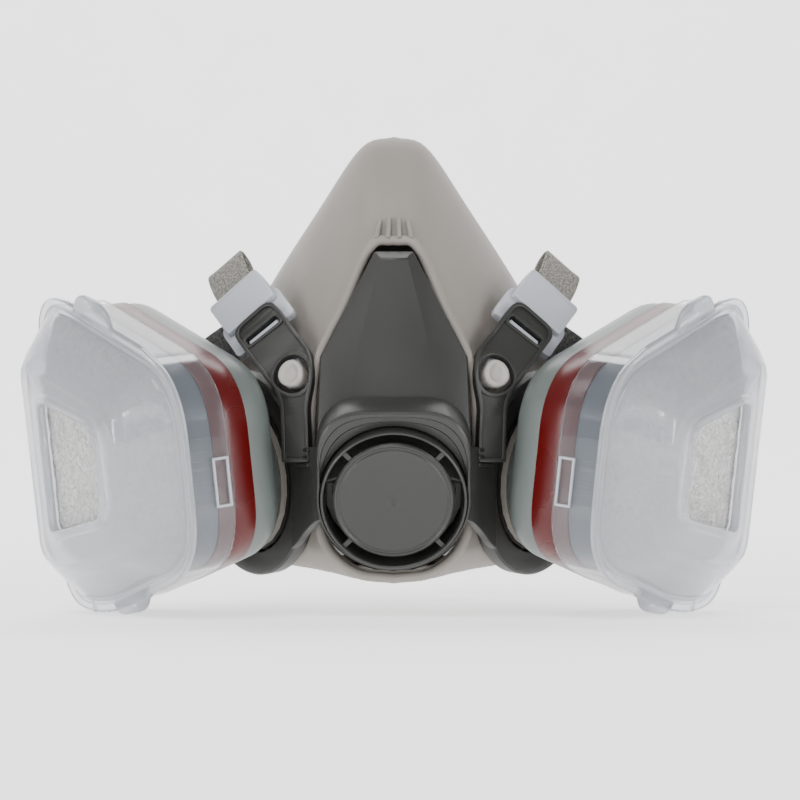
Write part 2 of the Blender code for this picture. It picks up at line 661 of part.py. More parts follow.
def make_bed():
    return bake(loft("sorbent_bed", [case_loop(14.2, -3.4), case_loop(CASE_SIDE, -2.1), case_loop(38, -2.1)]))


def make_grille():
    """A flat perforated front over the granules."""
    rows = [at_height(rounded(CASE_CORNERS, -2.0), z) for z in (38.4, 41.4)]
    plate = loft("cartridge_grille", rows)
    slots = [box("slot", (4.2, 34 - abs(k) * 3, 8), (10.5 * k, 4 + 3 * k, 40)) for k in range(-2, 3)]
    return bake(combine(plate, "DIFFERENCE", *slots), *slots)


def make_band_label():
    rows = [case_loop(z, grow) for z, grow in
            ((BAND_REAR, GAP), (BAND_REAR, 0.7), (BAND_FRONT, 0.7), (BAND_FRONT, GAP))]
    return bake(loft("label_band", rows, ring=True))


def make_pad():
    rows = [at_height(rounded(CASE_CORNERS, -2), 42.4), at_height(rounded(CASE_CORNERS, -2), 44.6),
            at_height(rounded(PANEL_CORNERS, -5), 51.5)]
    return bake(loft("filter_pad", rows))


def step_loop(corners, grow, z):
    return at_height(rounded(corners, grow), z)


def make_retainer():
    """A clear snap-on cover: skirt, flange, raised panel with a window, and two pull tabs."""
    outer = ((CASE_CORNERS, 2.2, SKIRT_REAR), (CASE_CORNERS, 2.2, 43.2), (CASE_CORNERS, 4.2, 43.2),
             (CASE_CORNERS, 4.2, 45.0), (CASE_CORNERS, -0.4, 46.2), (PANEL_CORNERS, 1.6, 54.5),
             (PANEL_CORNERS, -2.4, PANEL_Z), (WINDOW_CORNERS, 2.6, PANEL_Z), (WINDOW_CORNERS, 1.4, 59.0),
             (WINDOW_CORNERS, 0.0, 59.0))
    inner = ((WINDOW_CORNERS, 0.0, 56.4), (PANEL_CORNERS, -3.4, 56.4), (PANEL_CORNERS, 0.0, 53.6),
             (CASE_CORNERS, -1.4, 45.2), (CASE_CORNERS, 1.1, 43.6), (CASE_CORNERS, 1.1, SKIRT_REAR))
    cover = loft("filter_retainer", [step_loop(*row) for row in (*outer, *inner)], ring=True)
    top = flat("top_tab", (rounded(((-4, 46, 1), (18, 54, 1), (15, 60.5, 5), (0, 56, 5))),), 43.4, 44.9)
    low = flat("low_tab", (rounded(((-10, -27, 1), (12, -33, 1), (9, -37.0, 4), (-6, -35, 4)),),), 43.4, 44.9)
    hollow = loft("hollow", [case_loop(40, 1.1), case_loop(43.6, 1.1), case_loop(45.2, -1.4)])
    snaps = [box("snap", (8, 15, 4.4), (-36, 2, 31.6)), box("snap", (8, 15, 4.4), (38, 10, 31.6))]
    combine(cover, "UNION", top, low)
    combine(cover, "DIFFERENCE", hollow, *snaps)
    return bake(cover, top, low, hollow, *snaps)


# ---------------------------------------------------------------- assembly
piece("face_seal", make_face_seal(), RUBBER)
piece("front_plate", make_front_plate(), DARK)
piece("exhale_valve_seat", make_valve_seat(), DARK, VALVE_EMPTY)
piece("exhale_flap", make_exhale_flap(), FLAP, VALVE_EMPTY)
piece("exhale_cover", make_exhale_cover(), DARK, VALVE_EMPTY)
piece("harness_yoke", make_yoke(), DARK)
pair("buckle", make_buckle(), WHITE)
pair("crown_strap", ribbon("crown_strap", CROWN_ROUTE, CROWN_ACROSS), WEB)
pair("neck_strap", ribbon("neck_strap", NECK_ROUTE, NECK_ACROSS, count=28), WEB)
piece("crown_cradle", make_cradle(), DARK)
piece("neck_loop", make_neck_loop(), DARK)
piece("neck_hook", make_neck_hook(), DARK)
pair("inhale_port", make_inhale_port(), DARK, PORTS)
pair("inhale_flap", make_inhale_flap(), FLAP, PORTS)
pair("port_gasket", make_gasket(), RUBBER, PORTS)
pair("cartridge_case", make_case(), CASE, PORTS)
pair("sorbent_bed", make_bed(), BED, PORTS)
pair("cartridge_grille", make_grille(), CASE, PORTS)
pair("label_band", make_band_label(), BAND, PORTS)
pair("filter_pad", make_pad(), PAD, PORTS)
pair("filter_retainer", make_retainer(), CLEAR, PORTS)
bpy.context.view_layer.update()
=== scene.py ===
"""Half-face respirator: the looks of each piece, a pale floor, soft light and the camera.

Points are in millimetres in the model's own frame and become world metres as a mesh is made.
The right-hand half (+X) is described; the left is its mirror image in X.
"""

import math

import bmesh
import bpy
import numpy as np
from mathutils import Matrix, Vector


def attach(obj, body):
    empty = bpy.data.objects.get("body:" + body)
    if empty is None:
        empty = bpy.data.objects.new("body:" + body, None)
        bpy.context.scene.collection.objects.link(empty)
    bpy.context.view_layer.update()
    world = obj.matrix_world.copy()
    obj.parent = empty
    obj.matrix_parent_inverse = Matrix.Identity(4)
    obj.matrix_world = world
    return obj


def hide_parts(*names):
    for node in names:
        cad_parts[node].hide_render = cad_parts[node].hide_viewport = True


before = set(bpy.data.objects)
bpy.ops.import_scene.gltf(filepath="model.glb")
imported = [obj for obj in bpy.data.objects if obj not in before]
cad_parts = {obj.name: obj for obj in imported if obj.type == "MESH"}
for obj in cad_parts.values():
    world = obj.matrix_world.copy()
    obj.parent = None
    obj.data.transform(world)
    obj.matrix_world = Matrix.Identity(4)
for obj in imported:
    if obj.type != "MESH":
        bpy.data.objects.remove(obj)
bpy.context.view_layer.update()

# ---------------------------------------------------------------- facepiece
# One moulding of soft silicone rubber: a thick front lip that grips the plate, full cheeks and a
# thinner flange turned in against the face. The cartridge ports are clamped through its walls.
STAND = np.array((0.0, 0.22, -0.30))      # where the model stands in the world, in mm
IDENTITY = (np.zeros(3), np.eye(3))
PORT_TURN, PORT_DROOP = math.radians(55), math.radians(7)
PORT = (np.array((44.0, -15.0, 42.0)), np.array((
    (math.cos(PORT_TURN), math.sin(PORT_TURN), 0),
    (math.sin(PORT_TURN) * math.sin(PORT_DROOP), -math.cos(PORT_TURN) * math.sin(PORT_DROOP),
     math.cos(PORT_DROOP)),
    (math.sin(PORT_TURN) * math.cos(PORT_DROOP), -math.cos(PORT_TURN) * math.cos(PORT_DROOP),
     -math.sin(PORT_DROOP)))))


def to_model(points, place):
    """Points given along a frame's three axes, as points in the model's frame."""
    centre, axes = place
    return centre + np.asarray(points, float) @ axes


def make(name, points, faces, look, body="mask", place=IDENTITY, left=False, stands_for=(),
         sharp=35, bevel=0.0, uv=None):
    """One piece: a mesh with its place in its points, shaded smooth below the sharp angle."""
    points = to_model(points, place)
    if left:
        points = points * (-1, 1, 1)
    mesh = bpy.data.meshes.new(name)
    mesh.from_pydata(((points + STAND) * 0.001).tolist(), [], [tuple(f) for f in faces])
    if uv is not None:
        layer = mesh.uv_layers.new(name="UVMap")
        corner = np.empty(len(mesh.loops), np.int32)
        mesh.loops.foreach_get("vertex_index", corner)
        layer.data.foreach_set("uv", np.asarray(uv, np.float32)[corner].ravel())
    bm = bmesh.new()
    bm.from_mesh(mesh)
    if uv is None:
        bmesh.ops.remove_doubles(bm, verts=bm.verts, dist=1e-6)
    bmesh.ops.recalc_face_normals(bm, faces=bm.faces)
    bm.to_mesh(mesh)
    bm.free()
    mesh.materials.append(look)
    mesh.shade_smooth()
    mesh.set_sharp_from_angle(angle=math.radians(sharp))
    obj = bpy.data.objects.new(name, mesh)
    bpy.context.scene.collection.objects.link(obj)
    if bevel:
        soft = obj.modifiers.new("edges", "BEVEL")
        soft.width = bevel * 0.001
        soft.segments = 2
        soft.limit_method = "ANGLE"
        soft.angle_limit = math.radians(32)
        soft.harden_normals = True
    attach(obj, body)
    if stands_for:
        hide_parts(*stands_for)
    return obj


def loft(loops, ring=False):
    """Points and quads between equal closed loops; ring joins the last loop to the first."""
    loops = [np.asarray(loop, float) for loop in loops]
    size, count = len(loops[0]), len(loops)
    grid = np.arange(size * count).reshape(count, size)
    after = np.roll(grid, -1, axis=1)
    rows = grid if ring else grid[:-1]
    nxt = np.roll(grid, -1, axis=0) if ring else grid[1:]
    nxt_after = np.roll(after, -1, axis=0) if ring else after[1:]
    here_after = after if ring else after[:-1]
    quads = np.stack([rows, here_after, nxt_after, nxt], axis=-1).reshape(-1, 4).tolist()
    if not ring:
        quads += [grid[0][::-1].tolist(), grid[-1].tolist()]
    return np.concatenate(loops), quads


def merge(*parts):
    """Several (points, faces) as one."""
    points, faces, start = [], [], 0
    for p, f in parts:
        points.append(np.asarray(p, float))
        faces += [[i + start for i in face] for face in f]
        start += len(p)
    return np.concatenate(points), faces


def smooth_path(points, count):
    """Count points evenly spaced along a Catmull-Rom curve through the given ones."""
    p = np.asarray(points, float)
    p = np.vstack([2 * p[0] - p[1], p, 2 * p[-1] - p[-2]])
    s = np.linspace(0, 1, 24, endpoint=False)[:, None]
    runs = [0.5 * (2 * b + (c - a) * s + (2 * a - 5 * b + 4 * c - d) * s ** 2
                   + (3 * b - a - 3 * c + d) * s ** 3)
            for a, b, c, d in zip(p[:-3], p[1:-2], p[2:-1], p[3:])]
    dense = np.vstack([*runs, p[-2][None]])
    reach = np.concatenate([[0], np.cumsum(np.linalg.norm(np.diff(dense, axis=0), axis=1))])
    even = np.linspace(0, reach[-1], count)
    return np.stack([np.interp(even, reach, dense[:, k]) for k in range(dense.shape[1])], axis=1)


def effect(name, inputs, outputs):
    """An empty node group with float inputs (name, default) and the given outputs."""
    group = bpy.data.node_groups.new(name, "ShaderNodeTree")
    for label, value in inputs:
        socket = group.interface.new_socket(label, in_out="INPUT", socket_type="NodeSocketFloat")
        socket.default_value = value
    for label, kind in outputs:
        group.interface.new_socket(label, in_out="OUTPUT", socket_type=kind)
    return group, group.nodes.new("NodeGroupInput"), group.nodes.new("NodeGroupOutput")


def feed(tree, target, inputs):
    """Gives a node's inputs their values, or links them to other nodes' outputs."""
    for label, value in inputs.items():
        if isinstance(value, bpy.types.NodeSocket):
            tree.links.new(value, target.inputs[label])
        else:
            target.inputs[label].default_value = value


def node(tree, kind, inputs, **settings):
    """A shader node with its settings made and its inputs fed."""
    made = tree.nodes.new("ShaderNode" + kind)
    for setting, value in settings.items():
        setattr(made, setting, value)
    feed(tree, made, inputs)
    return made


def multiplied(tree, colour, mask):
    """A colour, or a socket that gives one, times a mask."""
    mix = node(tree, "Mix", {}, data_type="RGBA", blend_type="MULTIPLY")
    feed(tree, mix, {"Factor": 1.0, "A": colour, "B": mask})
    return mix.outputs["Result"]


def grain_group():
    """Moulded grain: fine noise as a normal, and broad noise that shifts the roughness and tone."""
    group, given, out = effect("moulded grain", (("Scale", 2500.0), ("Strength", 0.1), ("Roughness", 0.5)),
                               (("Normal", "NodeSocketVector"), ("Roughness", "NodeSocketFloat"),
                                ("Tone", "NodeSocketFloat")))
    place = node(group, "TexCoord", {}).outputs["Object"]
    fine = node(group, "TexNoise", {"Vector": place, "Scale": given.outputs["Scale"], "Detail": 2})
    broad = node(group, "TexNoise", {"Vector": place, "Scale": 45, "Detail": 3}).outputs["Fac"]
    bump = node(group, "Bump", {"Strength": given.outputs["Strength"], "Distance": 0.0002,
                                "Height": fine.outputs["Fac"]})
    less = node(group, "Math", {0: given.outputs["Roughness"], 1: 0.07}, operation="SUBTRACT")
    vary = node(group, "Math", {0: broad, 1: 0.14, 2: less.outputs[0]}, operation="MULTIPLY_ADD")
    tone = node(group, "MapRange", {"Value": broad, "To Min": 0.93, "To Max": 1.05})
    feed(group, out, {"Normal": bump.outputs["Normal"], "Roughness": vary.outputs[0],
                      "Tone": tone.outputs["Result"]})
    return group


GRAIN = grain_group()


def material(name, colour, roughness, grain=0.1, scale=2500.0, transmission=0.0, ior=1.5,
             subsurface=0.0):
    """A Principled material with moulded grain; colour is linear."""
    made = bpy.data.materials.new(name)
    made.use_nodes = True
    made.diffuse_color = (*colour, 1)
    tree = made.node_tree
    grained = node(tree, "Group", {}, node_tree=GRAIN)
    feed(tree, grained, {"Scale": scale, "Strength": grain, "Roughness": roughness})
    shader = tree.nodes["Principled BSDF"]
    feed(tree, shader, {"Metallic": 0.0, "IOR": ior, "Transmission Weight": transmission,
                        "Base Color": multiplied(tree, (*colour, 1), grained.outputs["Tone"]),
                        "Roughness": grained.outputs["Roughness"], "Normal": grained.outputs["Normal"]})
    if subsurface:
        feed(tree, shader, {"Subsurface Weight": subsurface, "Subsurface Scale": 1.0,
                            "Subsurface Radius": (0.002, 0.0018, 0.0016)})
    return made


RUBBER = material("facepiece rubber", (0.265, 0.24, 0.215), 0.52, 0.22, 1800, subsurface=0.08)
FRONT_RIM = ((0, -31, 112), (7, -32, 110), (15, -37, 92), (22.4, -40.2, 76), (24.4, -41.2, 60),
             (24, -38.2, 42), (21, -39, 23), (12, -41, 13.5), (0, -42, 11.5))
SHOULDER = ((0, -27, 117.5), (9, -27.5, 114.5), (18.5, -30, 97), (25, -32, 79), (26.4, -33.5, 60),
            (26.5, -34, 40), (24, -34, 22), (14, -35, 12), (0, -35, 10.5))
CHEEK = ((0, -13, 134), (9.5, -14, 131), (22, -14, 112), (34, -15, 90), (41, -14, 66),
         (42, -13, 46), (38, -14, 27), (23, -19, 13.5), (0, -24, 10.5))
WIDEST = ((0, 2, 145), (9.5, 0, 142), (21, 0, 125), (38.5, 5, 97), (49.5, 10, 75),
          (53, 12, 50), (46, 10, 28), (27, 0, 14), (0, -12, 11))
REAR_RIM = ((0, 14, 143), (11, 14, 139), (24, 20, 121), (41, 30, 95), (50, 38, 72),
            (52, 40, 50), (45, 38, 30), (27, 30, 19), (0, 24, 16))
INNER_LIP = ((0, 11, 131), (8, 10, 128), (17, 14, 113), (32, 24, 91), (41, 31, 70),
             (42.5, 33, 50), (36, 31, 34), (21, 24, 25), (0, 18, 22))
WALL_Z = -4.0
FLAT_R, FADE_R, CLEAR_R = 25, 33, 41      # radii round a port: flat wall, blended, and no prouder
PORT_HOLE_R, PORT_HOLE_DEPTH = 19.3, 12
AROUND, ACROSS = 91, 58                   # grid lines along a half rim, and from front to lip
WALL, RIM_ROUNDING = 0.0022, 0.0007       # in metres, for the modifiers


def flatten_round_port(points):
    """Moves the wall along the port's axis onto a flat at WALL_Z, with smooth fades outside it."""
    centre, axes = PORT
    local = (points - centre) @ axes.T
    radius, height = np.hypot(local[..., 0], local[..., 1]), local[..., 2]
    near = np.clip((FADE_R - radius) / (FADE_R - FLAT_R), 0, 1)
    moved = height + near * near * (3 - 2 * near) * (WALL_Z - height)
    outer = np.clip((CLEAR_R - radius) / (CLEAR_R - FADE_R), 0, 1)
    moved = moved - outer * outer * (3 - 2 * outer) * np.maximum(moved - WALL_Z, 0)
    return points + (moved - height)[..., None] * axes[2]


def facepiece():
    """A grid of smooth curves: six half rims lengthwise, then across them, mirrored and closed."""
    rims = (FRONT_RIM, SHOULDER, CHEEK, WIDEST, REAR_RIM, INNER_LIP)
    lines = np.stack([smooth_path(half, AROUND) for half in rims], axis=1)
    sheet = np.stack([smooth_path(line, ACROSS) for line in lines], axis=0)
    sheet[0, :, 0] = sheet[-1, :, 0] = 0
    sheet = flatten_round_port(sheet)
    whole = np.concatenate([sheet, sheet[-2:0:-1] * (-1, 1, 1)])
    count, across = whole.shape[:2]
    grid = np.arange(count * across).reshape(count, across)
    after = np.roll(grid, -1, axis=0)
    quads = np.stack([grid[:, :-1], after[:, :-1], after[:, 1:], grid[:, 1:]], axis=-1).reshape(-1, 4)
    points = whole.reshape(-1, 3)
    middle = points[quads].mean(axis=1)
    middle[:, 0] = np.abs(middle[:, 0])
    local = (middle - PORT[0]) @ PORT[1].T
    solid = (np.hypot(local[:, 0], local[:, 1]) > PORT_HOLE_R) | (np.abs(local[:, 2]) > PORT_HOLE_DEPTH)
    seal = make("facepiece", points, quads[solid].tolist(), RUBBER, stands_for=["face_seal"], sharp=60)
    wall = seal.modifiers.new("wall", "SOLIDIFY")
    wall.thickness = WALL
    wall.offset = -1
    soft = seal.modifiers.new("rolled rims", "BEVEL")
    soft.width = RIM_ROUNDING
    soft.segments = 3
    soft.limit_method = "ANGLE"
    soft.angle_limit = math.radians(50)


def pipe(path, radius, closed=True, steps=12):
    """A round bead along a path: a circle of the radius across the path at each point."""
    p = np.asarray(path, float)
    tangent = (np.roll(p, -1, axis=0) - np.roll(p, 1, axis=0)) if closed else np.gradient(p, axis=0)
    tangent /= np.linalg.norm(tangent, axis=1)[:, None]
    side = np.cross(tangent, (0.0, 1.0, 0.0))
    side /= np.linalg.norm(side, axis=1)[:, None]
    up = np.cross(side, tangent)
    angle = np.linspace(0, 2 * math.pi, steps, endpoint=False)
    loops = [p0 + radius * (np.outer(np.cos(angle), s) + np.outer(np.sin(angle), u))
             for p0, s, u in zip(p, side, up)]
    return loft(loops, ring=closed)


facepiece()
rim = smooth_path(FRONT_RIM, 80)
rim = np.concatenate([rim, rim[-2:0:-1] * (-1, 1, 1)])
make("facepiece_lip", *pipe(rim + (0, -0.4, 0), 1.5, steps=14), RUBBER)
ribs = []
for x in (-4.5, -1.5, 1.5, 4.5):
    low, high = (x * 1.15, -32.9 + abs(x) * 0.04, 112.5), (x * 0.9, -26.0, 119.2 - abs(x) * 0.3)
    line = np.linspace(low, high, 9) + np.outer(np.sin(np.linspace(0, math.pi, 9)), (0, -0.5, 0.3))
    ribs.append(pipe(line, 0.7, closed=False, steps=10))
make("nose_relief", *merge(*ribs), RUBBER)

# ---------------------------------------------------------------- front plate and exhalation valve
# A dark moulded shield with bevelled facets, pressed into the facepiece's front lip. Below it a
# round base holds the valve seat and its silicone flap, under a cover that snaps into the collar.
VALVE_TILT = math.radians(20)
VALVE = (np.array((0.0, -57.0, 34.8)), np.array((
    (1, 0, 0), (0, -math.sin(VALVE_TILT), math.cos(VALVE_TILT)),
    (0, -math.cos(VALVE_TILT), -math.sin(VALVE_TILT)))))
DARK = material("dark grey plastic", (0.027, 0.027, 0.025), 0.38, 0.12)
SILICONE = material("valve silicone", (0.62, 0.58, 0.46), 0.45, 0.05)
PLATE_EDGE = ((5.8, 108.5), (21.8, 77), (22.6, 55), (22.6, 40))
PANEL_EDGE = ((4.1, 106.3), (11.2, 77), (13.9, 59.6), (13.9, 42))
BACK_EDGE = ((8.2, 112.6), (22.5, 80), (25.0, 60), (24.2, 40))
PLATE_LEAN = 0.262
DISC_R, CAGE_R, CAGE_OUT, COLLAR_BORE = 17.8, 20.6, 21.5, 21.9


def lathe(profile, steps=96, ring=True):
    """A (radius, height) profile turned about z; ring closes it, else its ends lie on the axis."""
    angle = np.linspace(0, 2 * math.pi, steps, endpoint=False)
    return loft([np.stack([r * np.cos(angle), r * np.sin(angle), np.full(steps, z)], axis=1)
                 for r, z in profile], ring)


def block(size, centre, turn=0.0):
    """A box, turned about the frame's z axis."""
    corners = np.array([(x, y, z) for z in (-1, 1) for x, y in ((-1, -1), (1, -1), (1, 1), (-1, 1))]) / 2
    corners = corners * size + centre
    c, s = math.cos(turn), math.sin(turn)
    corners = corners @ np.array(((c, s, 0), (-s, c, 0), (0, 0, 1)))
    return corners, [(3, 2, 1, 0), (4, 5, 6, 7), (0, 1, 5, 4), (1, 2, 6, 5), (2, 3, 7, 6), (3, 0, 4, 7)]


def at(outline, z):
    """A flat outline at height z."""
    return np.column_stack([outline, np.full(len(outline), z)])


def circle(radius, steps=48):
    """Points spaced evenly on a circle: the radius times the cosine and the sine of each angle."""
    angle = np.linspace(0, 2 * math.pi, steps, endpoint=False)
    return np.column_stack([radius * np.cos(angle), radius * np.sin(angle)])


def leaning(half, back):
    """A half outline and its mirror image on the plate's plane, which leans back as z rises."""
    whole = [*half, *[(-x, z) for x, z in reversed(half)]]
    return [(x, -50 + (z - 55) * PLATE_LEAN + back, z) for x, z in whole]


def keep(name, look):
    """A hidden or plain piece, whose solid already shows every edge, with its own material."""
    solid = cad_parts[name]
    solid.data.materials.clear()
    solid.data.materials.append(look)


shield = [leaning(PLATE_EDGE, 3.0), leaning(PLATE_EDGE, 0.0), leaning(PANEL_EDGE, -3.4)]
make("front_shield", *loft(shield), DARK, stands_for=["front_plate"], sharp=20, bevel=0.55)
make("shield_flange", *loft([leaning(BACK_EDGE, back) for back in (12.6, 10.4)]), DARK,
     stands_for=["front_plate"], sharp=20)
make("valve_base", *lathe([(21.8, -14.3), (21.8, -17.4), (12.5, -17.4), (12.5, -14.3)]), DARK,
     place=VALVE, bevel=0.3)

unit = circle(1.0, 96)
web_edge = unit * np.where(unit[:, 1:] < 0, (25.0, 28.6), (24.6, 24.0))
web_bore = unit * 20.5
web = [at(web_edge, -17.2), at(web_edge, -15.0), at(web_bore, -15.0), at(web_bore, -17.2)]
make("valve_web", *loft(web, ring=True), DARK, place=VALVE, sharp=30)

disc = lathe([(0, -0.75), (0.5, -0.7), (1.2, -0.35), (1.9, -0.1), (2.6, -0.08), (3.2, -0.1),
              (15.6, -0.05), (16.0, -0.3), (16.5, -0.3), (16.9, 0.0), (17.3, -0.05), (DISC_R, -0.6),
              (DISC_R, -1.8), (0, -1.8)], ring=False)
cage = lathe([(CAGE_OUT - 0.4, 0.3), (CAGE_OUT - 0.1, 0.1), (CAGE_OUT, -0.3), (CAGE_OUT, -12.0),
              (CAGE_R, -12.0), (CAGE_R, -0.1), (CAGE_R + 0.2, 0.2)])
spokes = [block((4.8, 1.4, 1.3), ((DISC_R + CAGE_R) / 2, 0, -1.6), math.pi / 4 + k * math.pi / 2)
          for k in range(4)]
make("exhalation_cover", *merge(disc, cage, *spokes), DARK, "exhale_cover", VALVE,
     stands_for=["exhale_cover"], sharp=30)
keep("exhale_valve_seat", DARK)
keep("exhale_flap", SILICONE)

# ---------------------------------------------------------------- harness yoke
# Collar, side bands, rings round the ports and harness arms: one dark satin moulding that snaps
# over the valve base and hugs the facepiece. The arms end in a slot and a round button hole.
SIDES = ("r", "l")
ARM_LINE = ((28.3, -43, 44), (28.6, -42.8, 58), (29.8, -40.5, 71.5), (36, -33.5, 80.8),
            (42.4, -25.5, 89.3), (47.5, -19, 96), (53, -12, 103), (58, -5.5, 109.5))
ARM_FACING = ((-40, 24), (-10, 22), (10, 22), (24, 30), (60, 30))
ARM_DENSE = smooth_path(ARM_LINE, 281)
ARM_REACH = np.concatenate([[0], np.cumsum(np.linalg.norm(np.diff(ARM_DENSE, axis=0), axis=1))])
BUTTON_AT = ARM_REACH[np.argmin(np.linalg.norm(ARM_DENSE - np.array(ARM_LINE[2]), axis=1))]
ARM_CORNERS = ((7.9, 26.5, 4.5), (-7.9, 26.5, 4.5), (-7.9, 2, 3), (-4.2, -9, 3), (-4.2, -26, 0.5),
               (4.6, -26, 0.5), (4.6, -9, 3), (7.9, 2, 3))
SLOT_CORNERS = ((5.9, 20.4, 0.8), (-5.9, 20.4, 0.8), (-5.9, 17.6, 0.8), (5.9, 17.6, 0.8))
HOLE_R = 5.7
BAND_LINE = ((20.6, -51.5), (22.6, -48.5), (25.4, -43.0), (27.6, -39.7), (29.6, -36.9))
BAND_EDGES = ((29.0, 50.5), (28.0, 50.5), (25.0, 50.5), (22.0, 51.0), (20.0, 52.0))


def both(stem, points, faces, look, body="mask", stands_for=(), **extra):
    """The same piece on both sides; {} in a body's or solid's name takes the side's letter."""
    return [make(f"{stem}_{side}", points, faces, look, body.format(side), left=side == "l",
                 stands_for=[solid.format(side) for solid in stands_for], **extra) for side in SIDES]


def rounded(corners, grow=0.0, arc=8, edge=1):
    """A closed outline, offset outwards by grow, with filleted corners and evenly split edges."""
    points = [Vector(corner[:2]) for corner in corners]
    count = len(points)
    turn = 1 if sum(points[i - 1].cross(points[i]) for i in range(count)) > 0 else -1
    arcs = []
    for i, (point, corner) in enumerate(zip(points, corners)):
        before = (point - points[i - 1]).normalized()
        after = (points[(i + 1) % count] - point).normalized()
        n1, n2 = Vector((before.y, -before.x)) * turn, Vector((after.y, -after.x)) * turn
        tip = point + (n1 + n2) * (grow / (1 + n1.dot(n2)))
        bend = abs(before.cross(after)) / (1 + before.dot(after))
        length = max(corner[2] + grow * bend, 0.4)
        start, end = tip - before * length, tip + after * length
        arcs.append([start * (1 - s) ** 2 + tip * 2 * s * (1 - s) + end * s * s
                     for s in np.linspace(0, 1, arc + 1)])
    outline = []
    for i, run in enumerate(arcs):
        following = arcs[(i + 1) % count][0]
        outline += run
        outline += [run[-1].lerp(following, k / edge) for k in range(1, edge)]
    return np.array([tuple(p) for p in outline])


def plate(outlines, low, high, round_off=0.3):
    """A plate from closed outlines, the first outside and the others holes, with rounded rims."""
    curve = bpy.data.curves.new("plate", "CURVE")
    curve.dimensions = "2D"
    curve.fill_mode = "BOTH"
    curve.extrude = (high - low) / 2 - round_off
    curve.bevel_depth = round_off
    curve.bevel_resolution = 1
    curve.offset = -round_off
    for outline in outlines:
        spline = curve.splines.new("POLY")
        spline.points.add(len(outline) - 1)
        for point, (x, y) in zip(spline.points, outline):
            point.co = (x, y, 0, 1)
        spline.use_cyclic_u = True
    obj = bpy.data.objects.new("plate", curve)
    bpy.context.scene.collection.objects.link(obj)
    bpy.context.view_layer.update()
    mesh = bpy.data.meshes.new_from_object(obj.evaluated_get(bpy.context.evaluated_depsgraph_get()))
    bpy.data.objects.remove(obj)
    points = np.empty(len(mesh.vertices) * 3)
    mesh.vertices.foreach_get("co", points)
    faces = [tuple(face.vertices) for face in mesh.polygons]
    bpy.data.meshes.remove(mesh)
    return points.reshape(-1, 3) + (0, 0, (high + low) / 2), faces


def arm_frames(s):
    """Point, across, along and outward axes of the arm at each s mm above its button hole."""
    s = np.asarray(s, float)

    def point(height):
        return np.stack([np.interp(height + BUTTON_AT, ARM_REACH, ARM_DENSE[:, k])
                         for k in range(3)], axis=-1)

    along = point(s + 2) - point(s - 2)
    along /= np.linalg.norm(along, axis=-1)[..., None]
    facing = np.radians(np.interp(s, *zip(*ARM_FACING)))
    outward = np.stack([np.sin(facing), -np.cos(facing), np.zeros_like(facing)], axis=-1)
    outward[..., 2] = -(outward * along).sum(axis=-1) / np.maximum(along[..., 2], 0.2)
    outward /= np.linalg.norm(outward, axis=-1)[..., None]
    return point(s), np.cross(along, outward), along, outward


def on_arm(flat_part, step=1.5):
    """Takes (points, faces) laid out flat (across, along, outward) onto the curved arm."""
    points, faces = flat_part
    bm = bmesh.new()
    verts = [bm.verts.new(p) for p in points.tolist()]
    for face in faces:
        bm.faces.new([verts[i] for i in face])
    low, high = points[:, 1].min(), points[:, 1].max()
    for cut in np.arange(low + step, high - 0.5 * step, step):
        bmesh.ops.bisect_plane(bm, geom=bm.verts[:] + bm.edges[:] + bm.faces[:], dist=1e-4,
                               plane_co=(0, cut, 0), plane_no=(0, 1, 0))
    bm.verts.index_update()
    flat_points = np.array([v.co for v in bm.verts])
    faces = [[v.index for v in face.verts] for face in bm.faces]
    bm.free()
    middle, across, _, outward = arm_frames(flat_points[:, 1])
    return middle + across * flat_points[:, :1] + outward * flat_points[:, 2:], faces


def arm_rim(corners, inner, top):
    """The raised rim between two outlines on the arm's outer face."""
    return on_arm(plate((corners, inner), 0.2, top, 0.25))


arm_edge, slot = rounded(ARM_CORNERS, arc=5), rounded(SLOT_CORNERS, arc=3)
arm = merge(on_arm(plate((arm_edge, circle(HOLE_R), slot), -1.3, 1.0)),
            arm_rim(arm_edge, rounded(ARM_CORNERS, -1.3, arc=5), 1.7),
            arm_rim(circle(HOLE_R + 1.2), circle(HOLE_R), 1.6),
            arm_rim(rounded(SLOT_CORNERS, 1.1, arc=3), slot, 1.5))
both("harness_arm", *arm, DARK, stands_for=["harness_yoke"], sharp=28)


def collar_outline(steps=144):
    """Directions and radii round the valve: the larger of a circle and a rounded square's top."""
    square = rounded(((22.6, 27.4, 15), (-22.6, 27.4, 15), (-22.6, -4, 1), (22.6, -4, 1)), arc=24, edge=24)
    bearing = np.unwrap(np.arctan2(square[:, 1], square[:, 0])) % (2 * math.pi)
    order = np.argsort(bearing)
    angle = np.linspace(0, 2 * math.pi, steps, endpoint=False)
    radii = np.interp(angle, bearing[order], np.hypot(*square.T)[order], period=2 * math.pi)
    radii = np.where(np.sin(angle) < 0, 22.6, np.maximum(radii, 22.6))
    return np.column_stack([np.cos(angle), np.sin(angle)]), radii


directions, collar_radii = collar_outline()
collar = []
for share, inset, z in ((0, 0, -13.7), (0, 0, -2.4), (0, 0.35, -1.6), (0, 1.0, -1.2), (0.30, 0, -1.2),
                        (0.36, 0, -1.9), (0.62, 0, -2.2), (0.68, 0, -3.0), (0.95, 0, -3.3), (1, 0, -3.7),
                        (1, 0, -13.7)):
    stepped = np.maximum((collar_radii - inset) * (1 - share) + COLLAR_BORE * share, COLLAR_BORE)
    collar.append(at(directions * stepped[:, None], z))
make("valve_collar", *loft(collar, ring=True), DARK, place=VALVE, stands_for=["harness_yoke"], sharp=40,
     bevel=0.12)

ring = lathe([(31.0, 0.4), (31.0, WALL_Z + 0.3), (24.0, WALL_Z + 0.3), (24.0, 0.6), (24.5, 1.0),
              (30.4, 1.0)])
both("port_ring", *ring, DARK, place=PORT, stands_for=["harness_yoke"], sharp=40)


